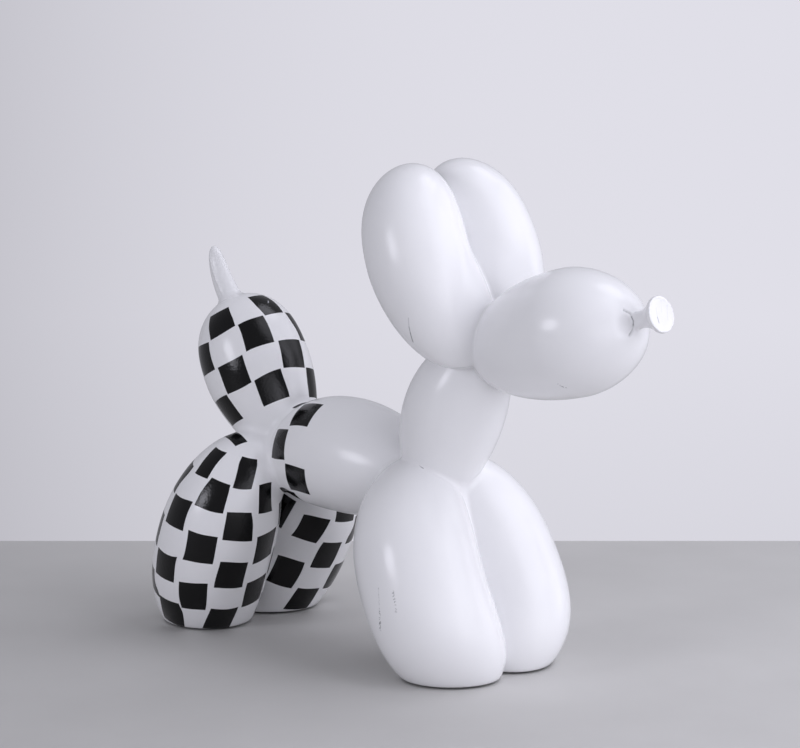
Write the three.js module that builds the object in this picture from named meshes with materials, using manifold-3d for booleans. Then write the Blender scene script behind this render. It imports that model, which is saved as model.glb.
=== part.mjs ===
// A balloon dog ornament, cast in one piece with flat soles.
// Millimetres, +Z up, the snout points along +X and the dog's left side is +Y.
// The origin is on the floor, under the middle of the figure.
import * as THREE from "three";
import { mergeVertices } from "three/addons/utils/BufferGeometryUtils.js";
import Module from "manifold-3d";

// Facets round a lobe, and rows of facets from its root to its tip.
const SIDES = 24;
const ROWS = 14;
const SMALL_SIDES = 18;

// The three places where the balloon is twisted, in the mirror plane. x is taken from the middle
// of the floor between the feet, and z from the floor.
const HEAD_TWIST = new THREE.Vector3(72.9, 0, 151.3);
const CHEST_TWIST = new THREE.Vector3(44.3, 0, 84.6);
const HIP_TWIST = new THREE.Vector3(-52.8, 0, 87.4);

// Each lobe swells from its root to its widest place, a share of its length, and closes again at
// its tip. fullness shapes the root half and the tip half: 2 is an ellipse, more is fuller.
// arch lifts the middle of a lobe towards the dog's back, spread moves it out from the mirror plane,
// and past says how far a lobe runs on through a twist.
const NECK = { radius: 24.2, widest: 0.51, fullness: [2.08, 1.94], arch: 3.5, spread: 0 };
const NECK_PAST_CHEST = 3.9;
const NECK_PAST_HEAD = 9.5;

const BODY = { radius: 28.2, widest: 0.45, fullness: [2.5, 1.73], arch: 5.8, spread: 0 };
const BODY_PAST_HIP = 7.9;
const BODY_PAST_CHEST = 4.1;

const SNOUT = { radius: 29.7, widest: 0.613, fullness: [2.1, 1.76], arch: 1.6, spread: 0 };
const SNOUT_REACH = 97.7;
const SNOUT_RISE = 14.7;

const TAIL = { radius: 26.9, widest: 0.56, fullness: [1.57, 2.78], arch: 1.2, spread: 0 };
const TAIL_REACH = 84.9;
const TAIL_LEAN = 29.6;
const TAIL_PAST_HIP = 2.6;

// An ear's root, from the head twist: forward, out to the side and down. Its length runs up and
// back, and a little inwards.
const EAR = { radius: 24.3, widest: 0.54, fullness: [1.7, 2.75], arch: 0.3, spread: 5.5 };
const EAR_ROOT = { forward: 4.2, out: 22.4, down: 2.2 };
const EAR_LENGTH = 97.6;
const EAR_LEAN = 23.4;
const EAR_CLOSE = 4.3;

// Low down, each ear is fuller on its front and inner side, where the two press on each other.
const EAR_BASE = { radius: 14.2, widest: 0.42, fullness: [2.2, 2], arch: 0, spread: 0 };
const EAR_BASE_ROOT = { forward: 8.8, out: 12, down: 2 };
const EAR_BASE_LENGTH = 54;

// A leg hangs from beside its twist to its foot. foot is where the round end would reach if the
// sole weren't cut flat: x, out to the side, and how far below the floor.
const FRONT_LEG = { radius: 29.5, widest: 0.49, fullness: [3.89, 2.71], arch: 0, spread: 12.6 };
const FRONT_TOP = { back: 9.7, out: 8.5, up: 14.1 };
const FRONT_FOOT = { x: 85.9, out: 18.6, sunk: 7.3 };

const HIND_LEG = { radius: 29.2, widest: 0.51, fullness: [2.62, 2.27], arch: -1.6, spread: 10.6 };
const HIND_TOP = { back: 4.5, out: 21.6, up: 11.1 };
const HIND_FOOT = { x: -104.2, out: 14.1, sunk: 14.9 };

// The balloon's mouth on the snout: a stem that flares to a dished disc.
const MOUTH_LENGTH = 14.2;
const MOUTH_STEM_RADIUS = 3.9;
const MOUTH_RIM_RADIUS = 8.3;
const MOUTH_RIM_THICKNESS = 1.3;
const MOUTH_DISH_DEPTH = 0.6;
const MOUTH_RISE = 17.4;
const MOUTH_ABOVE_TIP = 1.3;
const MOUTH_ROOT_DEPTH = 5;
const MOUTH_FLARE_ROWS = 7;
const MOUTH_FLARE_POWER = 2.4;

// The unfilled teat at the end of the tail.
const TEAT_LENGTH = 27.6;
const TEAT_ROOT_RADIUS = 5.9;
const TEAT_TIP_RADIUS = 3.4;
const TEAT_LEAN = 26.2;
const TEAT_BEHIND_TIP = 1.7;
const TEAT_ROOT_DEPTH = 5;
const TEAT_ARCH = 1.4;
const TEAT_DOME_ROWS = 5;

// The balloon's skin is glossy white lacquer over the casting.
const WHITE = 0xe8e8ee;
const GLOSS_ROUGHNESS = 0.3;

const UP = new THREE.Vector3(0, 0, 1);
const LEFT = new THREE.Vector3(0, 1, 0);

const wasm = await Module();
wasm.setup();

/** The direction in the mirror plane that leans from straight up by an angle towards +X. */
function leaning(degrees) {
  return UP.clone().applyAxisAngle(LEFT, THREE.MathUtils.degToRad(degrees));
}

/** A point a distance along a direction from another point. */
function along(from, direction, distance) {
  return from.clone().addScaledVector(direction, distance);
}

/** A closed geometry, in a mesh's own place, as a solid that can be joined and cut. */
function solidOf(mesh) {
  mesh.updateMatrixWorld(true);
  const bare = mesh.geometry.clone().applyMatrix4(mesh.matrixWorld);
  bare.deleteAttribute("normal");
  bare.deleteAttribute("uv");
  const merged = mergeVertices(bare);
  const corners = merged.index.array;
  const triangles = [];
  for (let i = 0; i < corners.length; i += 3) {
    const [a, b, c] = corners.slice(i, i + 3);
    if (a !== b && b !== c && c !== a) triangles.push(a, b, c);
  }
  const vertProperties = merged.attributes.position.array;
  const triVerts = new Uint32Array(triangles);
  return new wasm.Manifold(new wasm.Mesh({ numProp: 3, vertProperties, triVerts }));
}

/**
 * Turns a profile about the line from root to tip, with the profile's heights along that line.
 * shift gives how far the centre line moves at a height: towards the dog's back, and to its left.
 */
function turned(profile, sides, root, tip, shift) {
  const axis = tip.clone().sub(root).normalize();
  const belly = LEFT.clone().cross(axis).normalize();
  const right = belly.clone().cross(axis);
  const geometry = new THREE.LatheGeometry(profile, sides);
  const position = geometry.attributes.position;
  for (let i = 0; i < position.count; i += 1) {
    const { back, left } = shift(position.getY(i));
    position.setX(i, position.getX(i) - back);
    position.setZ(i, position.getZ(i) - left);
  }
  const mesh = new THREE.Mesh(geometry);
  mesh.applyMatrix4(new THREE.Matrix4().makeBasis(belly, axis, right).setPosition(root));
  return solidOf(mesh);
}

/** One swollen length of balloon from root to tip. */
function lobe({ radius, widest, fullness, arch, spread }, root, tip) {
  const length = root.distanceTo(tip);
  const middle = widest * length;
  const profile = [];
  for (let row = 0; row <= ROWS; row += 1) {
    const swell = -Math.cos((Math.PI * row) / ROWS);
    const half = swell < 0 ? middle : length - middle;
    const power = swell < 0 ? fullness[0] : fullness[1];
    const onAxis = row === 0 || row === ROWS;
    const width = onAxis ? 0 : radius * Math.sqrt(1 - Math.abs(swell) ** power);
    profile.push(new THREE.Vector2(width, middle + swell * half));
  }
  const side = Math.sign(root.y + tip.y);
  return turned(profile, SIDES, root, tip, (height) => {
    const swell = (height - middle) / (height < middle ? middle : length - middle);
    const bow = 1 - swell ** 2;
    return { back: arch * bow, left: side * spread * bow };
  });
}

/** A lobe on the dog's left and its mirror image on the right. */
function pairOfLobes(form, root, tip) {
  const mirror = new THREE.Vector3(1, -1, 1);
  const left = lobe(form, root, tip);
  const right = lobe(form, root.clone().multiply(mirror), tip.clone().multiply(mirror));
  return left.add(right);
}

function neck() {
  const axis = HEAD_TWIST.clone().sub(CHEST_TWIST).normalize();
  return lobe(NECK, along(CHEST_TWIST, axis, -NECK_PAST_CHEST), along(HEAD_TWIST, axis, NECK_PAST_HEAD));
}

function body() {
  const axis = CHEST_TWIST.clone().sub(HIP_TWIST).normalize();
  return lobe(BODY, along(HIP_TWIST, axis, -BODY_PAST_HIP), along(CHEST_TWIST, axis, BODY_PAST_CHEST));
}

function snoutTip() {
  return along(HEAD_TWIST, leaning(90 - SNOUT_RISE), SNOUT_REACH);
}

function snout() {
  return lobe(SNOUT, HEAD_TWIST, snoutTip());
}

function tailTip() {
  return along(HIP_TWIST, leaning(-TAIL_LEAN), TAIL_REACH);
}

function tail() {
  return lobe(TAIL, along(HIP_TWIST, leaning(-TAIL_LEAN), -TAIL_PAST_HIP), tailTip());
}

/** Two lobes that stand up from beside the head twist, lean back and close on each other. */
function pairOnHead(form, { forward, out, down }, length) {
  const root = HEAD_TWIST.clone().add(new THREE.Vector3(forward, out, -down));
  const forwards = new THREE.Vector3(1, 0, 0);
  const closing = THREE.MathUtils.degToRad(EAR_CLOSE);
  const direction = UP.clone().applyAxisAngle(forwards, closing);
  direction.applyAxisAngle(LEFT, THREE.MathUtils.degToRad(-EAR_LEAN));
  return pairOfLobes(form, root, along(root, direction, length));
}

function ears() {
  const bases = pairOnHead(EAR_BASE, EAR_BASE_ROOT, EAR_BASE_LENGTH);
  return pairOnHead(EAR, EAR_ROOT, EAR_LENGTH).add(bases);
}

function legs(form, twist, top, foot) {
  const root = new THREE.Vector3(foot.x, foot.out, -foot.sunk);
  return pairOfLobes(form, root, twist.clone().add(new THREE.Vector3(-top.back, top.out, top.up)));
}

/** The mouth: a stem out of the snout's tip that flares to the rim of a dished disc. */
function mouth() {
  const direction = leaning(90 - MOUTH_RISE);
  const root = along(snoutTip(), UP, MOUTH_ABOVE_TIP);
  const profile = [new THREE.Vector2(0, -MOUTH_ROOT_DEPTH)];
  profile.push(new THREE.Vector2(MOUTH_STEM_RADIUS, -MOUTH_ROOT_DEPTH));
  const flareLength = MOUTH_LENGTH - MOUTH_RIM_THICKNESS;
  for (let row = 0; row <= MOUTH_FLARE_ROWS; row += 1) {
    const share = row / MOUTH_FLARE_ROWS;
    const width = MOUTH_STEM_RADIUS + (MOUTH_RIM_RADIUS - MOUTH_STEM_RADIUS) * share ** MOUTH_FLARE_POWER;
    profile.push(new THREE.Vector2(width, share * flareLength));
  }
  profile.push(new THREE.Vector2(MOUTH_RIM_RADIUS, MOUTH_LENGTH));
  profile.push(new THREE.Vector2(MOUTH_RIM_RADIUS - MOUTH_RIM_THICKNESS, MOUTH_LENGTH));
  profile.push(new THREE.Vector2(0, MOUTH_LENGTH - MOUTH_DISH_DEPTH));
  const still = () => ({ back: 0, left: 0 });
  return turned(profile, SMALL_SIDES, root, along(root, direction, MOUTH_LENGTH), still);
}

/** The teat: a tapering stub with a round end, bowed a little backwards. */
function teat() {
  const root = tailTip().add(new THREE.Vector3(-TEAT_BEHIND_TIP, 0, 0));
  const profile = [new THREE.Vector2(0, -TEAT_ROOT_DEPTH)];
  profile.push(new THREE.Vector2(TEAT_ROOT_RADIUS, -TEAT_ROOT_DEPTH));
  profile.push(new THREE.Vector2(TEAT_ROOT_RADIUS, 0));
  const domeStart = TEAT_LENGTH - TEAT_TIP_RADIUS;
  for (let row = 0; row < TEAT_DOME_ROWS; row += 1) {
    const turn = (Math.PI / 2) * (row / TEAT_DOME_ROWS);
    profile.push(new THREE.Vector2(TEAT_TIP_RADIUS * Math.cos(turn), domeStart + TEAT_TIP_RADIUS * Math.sin(turn)));
  }
  profile.push(new THREE.Vector2(0, TEAT_LENGTH));
  const bowed = (height) => {
    const share = THREE.MathUtils.clamp(height / TEAT_LENGTH, 0, 1);
    return { back: TEAT_ARCH * 4 * share * (1 - share), left: 0 };
  };
  return turned(profile, SMALL_SIDES, root, along(root, leaning(-TEAT_LEAN), TEAT_LENGTH), bowed);
}

/** What lies below the floor, under and round all four feet. It cuts the soles flat. */
function belowFloor() {
  const deep = 2 * Math.max(FRONT_FOOT.sunk, HIND_FOOT.sunk);
  const stride = FRONT_FOOT.x - HIND_FOOT.x;
  const reach = stride + 2 * (FRONT_LEG.radius + HIND_LEG.radius);
  const block = new THREE.Mesh(new THREE.BoxGeometry(reach, reach, deep));
  block.position.set(FRONT_FOOT.x - stride / 2, 0, -deep / 2);
  return solidOf(block);
}

/** A solid as a mesh geometry, moved so that the origin is under the middle of its box. */
function centredGeometry(solid) {
  const { vertProperties, triVerts } = solid.getMesh();
  const geometry = new THREE.BufferGeometry();
  geometry.setAttribute("position", new THREE.BufferAttribute(new Float32Array(vertProperties), 3));
  geometry.setIndex(new THREE.BufferAttribute(new Uint32Array(triVerts), 1));
  geometry.computeBoundingBox();
  geometry.translate(-geometry.boundingBox.getCenter(new THREE.Vector3()).x, 0, 0);
  return geometry;
}

const lobes = [
  snout(),
  ears(),
  neck(),
  body(),
  tail(),
  legs(FRONT_LEG, CHEST_TWIST, FRONT_TOP, FRONT_FOOT),
  legs(HIND_LEG, HIP_TWIST, HIND_TOP, HIND_FOOT),
  mouth(),
  teat(),
];
const casting = lobes.reduce((joined, next) => joined.add(next)).subtract(belowFloor());

const lacquer = new THREE.MeshStandardMaterial({ color: WHITE, roughness: GLOSS_ROUGHNESS, metalness: 0, flatShading: true });
const dog = new THREE.Mesh(centredGeometry(casting), lacquer);
dog.name = "balloon_dog";

const figure = new THREE.Group();
figure.add(dog);
export default figure;
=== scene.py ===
"""A balloon dog ornament in white and black lacquer, dressed around its packed casting.

The whole figure is one casting, so it is one skin here. The skin is the smooth union of the dog's
swollen lobes, the balloon's mouth and the teat of the tail, and its creases are filleted as the
real casting's are. Sizes are in millimetres in the part's drawing, where x is counted from between
the feet, and are turned to metres when the mesh is made.
"""
import logging
import math
from collections.abc import Callable
from dataclasses import dataclass, field
from enum import Enum
from functools import cached_property

import bpy
import numpy as np
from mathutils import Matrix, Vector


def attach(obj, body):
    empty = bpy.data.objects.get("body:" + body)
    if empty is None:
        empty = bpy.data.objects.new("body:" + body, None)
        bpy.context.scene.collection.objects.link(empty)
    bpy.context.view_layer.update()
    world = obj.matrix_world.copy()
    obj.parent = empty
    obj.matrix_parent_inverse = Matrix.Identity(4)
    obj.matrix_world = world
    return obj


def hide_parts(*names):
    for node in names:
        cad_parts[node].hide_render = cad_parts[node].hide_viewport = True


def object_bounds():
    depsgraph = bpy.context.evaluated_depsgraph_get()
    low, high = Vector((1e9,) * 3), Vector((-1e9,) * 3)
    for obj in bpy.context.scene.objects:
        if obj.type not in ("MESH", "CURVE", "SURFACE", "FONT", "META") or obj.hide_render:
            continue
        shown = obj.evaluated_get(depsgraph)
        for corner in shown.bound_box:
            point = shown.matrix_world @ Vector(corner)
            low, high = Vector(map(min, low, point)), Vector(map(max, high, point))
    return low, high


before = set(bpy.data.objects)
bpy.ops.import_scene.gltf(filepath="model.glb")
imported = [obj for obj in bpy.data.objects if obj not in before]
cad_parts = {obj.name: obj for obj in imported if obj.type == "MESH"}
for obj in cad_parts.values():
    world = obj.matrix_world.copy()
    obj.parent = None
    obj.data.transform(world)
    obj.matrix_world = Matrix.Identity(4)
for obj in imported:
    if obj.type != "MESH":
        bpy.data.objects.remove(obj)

CAD_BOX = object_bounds()
LOG = logging.getLogger("balloon_dog")

# A millimetre in metres and a metre in millimetres, and where the part's middle is in the drawing.
MM = 0.001
METRE = 1000
MIDDLE_X = 33.15

# The picture's width in pixels, and the width of the camera's sensor in millimetres.
IMAGE_WIDTH = 800
SENSOR_WIDTH = 36.0

# The distance that stands for any longer one, and a number that keeps a division from zero.
FAR = 20.0
TINY = 1e-9

# The size of a check as it was cut, and the mesh attribute that holds how far the fold is.
CHECK_WIDE = 15.0
CHECK_TALL = 15.1
FOLD_NAME = "fold_distance"

Field = Callable[[np.ndarray], np.ndarray]


class Side(Enum):
    """Which side of the dog a lobe is on."""

    RIGHT = "right"
    MIDDLE = "middle"
    LEFT = "left"


def linear(hex_colour: str) -> tuple[float, float, float, float]:
    """An sRGB colour as Blender's linear one.

    Args:
        hex_colour: the colour as six hex digits.

    Returns:
        Linear red, green and blue, and an alpha of one.
    """
    parts = [int(hex_colour[i : i + 2], 16) / 255 for i in (0, 2, 4)]
    red, green, blue = (p / 12.92 if p <= 0.04045 else ((p + 0.055) / 1.055) ** 2.4 for p in parts)
    return red, green, blue, 1.0


def add_node(
    tree: bpy.types.NodeTree,
    kind: str,
    settings: dict[str | int, object] | None = None,
    links: dict[str | int, bpy.types.NodeSocket] | None = None,
) -> bpy.types.Node:
    """Adds a node with its settings and links.

    Args:
        tree: the node tree that takes it.
        kind: the node's type name.
        settings: properties by name, and values of input sockets by name or number.
        links: output sockets to join, by the name or number of the input socket.

    Returns:
        The new node.
    """
    made = tree.nodes.new(kind)
    for key, value in (settings or {}).items():
        if isinstance(key, str) and key in made.bl_rna.properties:
            setattr(made, key, value)
        else:
            made.inputs[key].default_value = value
    for key, source in (links or {}).items():
        tree.links.new(source, made.inputs[key])
    return made


def bare_tree(owner: bpy.types.Material | bpy.types.World) -> bpy.types.NodeTree:
    """Gives a material or a world an empty node tree.

    Args:
        owner: the new material or world.

    Returns:
        Its node tree.
    """
    owner.use_nodes = True
    owner.node_tree.nodes.clear()
    return owner.node_tree


def new_group(
    name: str, vectors: tuple[str, ...], numbers: tuple[str, ...], output: str
) -> tuple[bpy.types.NodeTree, bpy.types.bpy_prop_collection]:
    """Starts a shader node group.

    Args:
        name: the group's name.
        vectors: the names of its vector inputs.
        numbers: the names of its number inputs.
        output: the name of its only output, a number.

    Returns:
        The group, and the sockets that its inputs come from.
    """
    group = bpy.data.node_groups.new(name, "ShaderNodeTree")
    for names, way, kind in (
        (vectors, "INPUT", "NodeSocketVector"),
        (numbers, "INPUT", "NodeSocketFloat"),
        ((output,), "OUTPUT", "NodeSocketFloat"),
    ):
        for socket in names:
            group.interface.new_socket(socket, in_out=way, socket_type=kind)
    return group, add_node(group, "NodeGroupInput").outputs


def placed(points: np.ndarray | tuple[float, ...]) -> np.ndarray:
    """Points of the drawing in the part's own frame, in metres."""
    return (np.array(points) - (MIDDLE_X, 0, 0)) * MM


def direction(azimuth: float, elevation: float) -> np.ndarray:
    """The direction at two angles, where azimuth 0 is the dog's right and 90 its snout.

    Args:
        azimuth: the angle round the dog, in degrees.
        elevation: the angle up from the floor, in degrees.

    Returns:
        A vector with a length of one.
    """
    turn, rise = math.radians(azimuth), math.radians(elevation)
    flat = math.cos(rise)
    return np.array([math.sin(turn) * flat, -math.cos(turn) * flat, math.sin(rise)])


def unit(vector: np.ndarray) -> np.ndarray:
    """The vector with a length of one."""
    return vector / np.linalg.norm(vector)


def leaning(degrees: float) -> np.ndarray:
    """The direction in the mirror plane that leans from straight up by an angle towards +X."""
    angle = math.radians(degrees)
    return np.array([math.sin(angle), 0.0, math.cos(angle)])


def smooth_min(first: np.ndarray, second: np.ndarray, reach: np.ndarray | float) -> np.ndarray:
    """The lower of two distances, filleted where they are closer to each other than reach."""
    near = np.maximum(reach - np.abs(first - second), 0) / reach
    return np.minimum(first, second) - near * near * reach / 4


def smooth_max(first: np.ndarray, second: np.ndarray, reach: float) -> np.ndarray:
    """The higher of two distances, rounded where they are closer to each other than reach."""
    return -smooth_min(-first, -second, reach)


@dataclass(frozen=True)
class Lobe:
    """One swollen length of balloon from its root to its tip.

    widest is where it is thickest, as a share of its length. fullness shapes the root half and
    the tip half, where 2 is an ellipse. arch lifts its middle towards the dog's back, and spread
    moves it towards +Y. bulge is a smaller swelling that fills out one side of it.
    """

    name: str
    root: np.ndarray
    tip: np.ndarray
    radius: float
    widest: float
    fullness: tuple[float, float]
    arch: float = 0.0
    spread: float = 0.0
    bulge: "Lobe | None" = None

    EASE = 0.006
    BULGE_FILLET = 9.0
    BOW_END = 1.44
    LEAST_STEEP = 1e-6
    PROFILE_STEPS = 1501

    @cached_property
    def length(self) -> float:
        """The straight distance from root to tip."""
        return float(np.linalg.norm(self.tip - self.root))

    @cached_property
    def axes(self) -> np.ndarray:
        """The lobe's own directions: towards the dog's belly, towards +Y, and along it.

        Returns:
            Three rows, each with a length of one.
        """
        along = unit(self.tip - self.root)
        belly = unit(np.cross((0.0, 1.0, 0.0), along))
        return np.array([belly, np.cross(along, belly), along])

    def box(self, margin: float) -> tuple[np.ndarray, np.ndarray]:
        """The lobe's box, grown by a margin on each side.

        Args:
            margin: how much to grow it by.

        Returns:
            Its lowest and highest corners.
        """
        along = self.axes[2]
        wide = self.radius * np.sqrt(1 - along**2) + abs(self.arch) + abs(self.spread) + margin
        ends = np.array([self.root, self.tip])
        return ends.min(0) - wide, ends.max(0) + wide

    def swell(self, share: np.ndarray, power: np.ndarray) -> tuple[np.ndarray, np.ndarray]:
        """How far the profile has closed at a share of the way to an end, and its slope.

        Args:
            share: 0 at the widest place and 1 at the end.
            power: the fullness of that half.

        Returns:
            The closing from 0 to 1, eased near the widest place, and its derivative.
        """
        half = power / 2
        start = self.EASE**half
        scale = (1 + self.EASE) ** half - start
        eased = share**2 + self.EASE
        return (eased**half - start) / scale, power * share * eased ** (half - 1) / scale

    def place(self, points: np.ndarray) -> tuple[np.ndarray, np.ndarray, np.ndarray]:
        """Where points are in the lobe's own straightened frame.

        Args:
            points: rows of x, y and z.

        Returns:
            The distances towards belly and towards +Y from the bowed centre line, and the
            distance along the lobe from its root.
        """
        local = (points - self.root) @ self.axes.T
        middle = self.widest * self.length
        ahead = local[:, 2] - middle
        share = np.where(ahead > 0, ahead / (self.length - middle), ahead / middle)
        bow = 1 - np.minimum(share**2, self.BOW_END)
        return local[:, 0] + self.arch * bow, local[:, 1] - self.spread * bow, local[:, 2]

    def closing(self, height: np.ndarray) -> tuple[np.ndarray, np.ndarray]:
        """How far the profile has closed at each height along the lobe, and its slope there.

        Args:
            height: distances along the lobe from its root.

        Returns:
            The closing from 0 to 1, and its slope for each millimetre.
        """
        middle = self.widest * self.length
        ahead = height - middle
        reach = np.where(ahead > 0, self.length - middle, middle)
        power = np.where(ahead > 0, self.fullness[1], self.fullness[0])
        closed, slope = self.swell(np.abs(ahead) / reach, power)
        return closed, slope / reach

    def distance(self, points: np.ndarray) -> np.ndarray:
        """The signed distance of each point from the lobe's skin, true close to it.

        Args:
            points: rows of x, y and z.

        Returns:
            Millimetres, below zero inside.
        """
        belly, left, height = self.place(points)
        closed, slope = self.closing(height)
        round_share = (belly**2 + left**2) / self.radius**2
        size = np.sqrt(closed + round_share) + TINY
        steep = np.hypot(slope, 2 * np.sqrt(round_share) / self.radius) / (2 * size)
        own = np.clip((size - 1) / (steep + self.LEAST_STEEP), -self.radius, FAR)
        if self.bulge is None:
            return own
        return smooth_min(own, self.bulge.distance(points), self.BULGE_FILLET)

    def profile(self) -> tuple[np.ndarray, np.ndarray]:
        """The length of the skin from the root tip to each of many heights along the lobe.

        Returns:
            The heights, and the lengths along the skin.
        """
        turns = np.linspace(0, math.pi, self.PROFILE_STEPS)
        height = self.length * (0.5 - 0.5 * np.cos(turns))
        closed, _ = self.closing(height)
        radius = self.radius * np.sqrt(np.maximum(0, 1 - closed))
        steps = np.hypot(np.diff(height), np.diff(radius))
        return height, np.concatenate([[0], np.cumsum(steps)])

    def mirrored(self, name: str) -> "Lobe":
        """The same lobe on the dog's other side, under another name.

        Args:
            name: what it is called.

        Returns:
            The other lobe.
        """
        flip = np.array([1.0, -1.0, 1.0])
        bulge = self.bulge and self.bulge.mirrored(name + "_bulge")
        return Lobe(
            name, self.root * flip, self.tip * flip, self.radius, self.widest, self.fullness,
            self.arch, -self.spread, bulge,
        )


@dataclass(frozen=True)
class Mouth:
    """The balloon's mouth: a stem out of the snout that flares to the rim of a dished disc.

    lip is the flat ring inside the rim. The stem starts sunk inside the snout.
    """

    root: np.ndarray
    rise: float = 17.4
    length: float = 14.2
    stem_radius: float = 3.9
    rim_radius: float = 8.4
    rim_thickness: float = 1.7
    dish_depth: float = 0.6
    dish_power: float = 4.0
    lip: float = 1.0
    flare_power: float = 2.4
    edge_round: float = 0.35
    sunk: float = 5.0
    sunk_round: float = 0.5

    def distance(self, points: np.ndarray) -> np.ndarray:
        """The signed distance of each point from the mouth's skin.

        Args:
            points: rows of x, y and z.

        Returns:
            Millimetres, below zero inside.
        """
        along = leaning(90 - self.rise)
        offset = points - self.root
        height = offset @ along
        radius = np.sqrt(np.maximum((offset**2).sum(1) - height**2, TINY))
        flare_length = self.length - self.rim_thickness
        share = np.clip(height / flare_length, 0, 1)
        flare = self.rim_radius - self.stem_radius
        edge = self.stem_radius + flare * share**self.flare_power
        slope = flare * self.flare_power * share ** (self.flare_power - 1) / flare_length
        side = (radius - edge) / np.hypot(1, slope)
        inner = np.minimum(radius / (self.rim_radius - self.lip), 1)
        face = height - self.length + self.dish_depth * (1 - inner**self.dish_power)
        below = -self.sunk - height
        return smooth_max(smooth_max(side, face, self.edge_round), below, self.sunk_round)


@dataclass(frozen=True)
class Teat:
    """The unfilled end of the balloon on the tail: a tapering stub, bowed a little backwards.

    radii are the least and the greatest that its taper may give. ridges stand up along it. Each
    has an azimuth at the root, a turn, a height and a half width: a fine seam and the blunt fold
    that the rubber is pinched to. They end at ridge_end of its length, over ridge_run of it.
    """

    root: np.ndarray
    lean: float = 26.2
    length: float = 27.6
    root_radius: float = 5.85
    taper: float = 0.05
    late_taper: float = 0.0022
    arch: float = 1.4
    dome_power: float = 12.0
    radii: tuple[float, float] = (2.5, 7.0)
    ridges: tuple[tuple[float, float, float, float], ...] = (
        (-75.0, -30.0, 0.5, 0.7), (0.0, 0.0, 0.6, 2.6),
    )
    ridge_end: float = 0.95
    ridge_run: float = 1 / 6

    SHARE_END = 1.3
    LEAST_STEEP = 1e-3
    DEEPEST = 6.0

    def distance(self, points: np.ndarray) -> np.ndarray:
        """The signed distance of each point from the teat's skin.

        Args:
            points: rows of x, y and z.

        Returns:
            Millimetres, below zero inside.
        """
        along = leaning(-self.lean)
        belly = unit(np.cross((0.0, 1.0, 0.0), along))
        offset = points - self.root
        height = offset @ along
        share = np.clip(height / self.length, 0, self.SHARE_END)
        bowed = offset @ belly + self.arch * 4 * share * (1 - share)
        radius = np.hypot(bowed, offset[:, 1])
        body = self.root_radius - self.taper * height - self.late_taper * height * np.abs(height)
        body = np.clip(body, *self.radii)
        azimuth = np.arctan2(offset[:, 1], bowed)
        rise_in, fall_off = share / self.ridge_run, (self.ridge_end - share) / self.ridge_run
        ends = np.clip(rise_in, 0, 1) * np.clip(fall_off, 0, 1)
        raised = np.zeros(len(points))
        for start, turn, rise, wide in self.ridges:
            off = azimuth - np.radians(start + turn * share**2)
            off = (off + math.pi) % (2 * math.pi) - math.pi
            raised += rise * ends * np.exp(-((off * body / wide) ** 2))
        body = body + raised
        closed = share**self.dome_power
        size = np.sqrt((radius / body) ** 2 + closed) + TINY
        closing = self.dome_power * share ** (self.dome_power - 1) / self.length
        steep = np.hypot(2 * radius / body**2, closing) / (2 * size)
        return np.clip((size - 1) / (steep + self.LEAST_STEEP), -self.DEEPEST, FAR)


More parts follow.
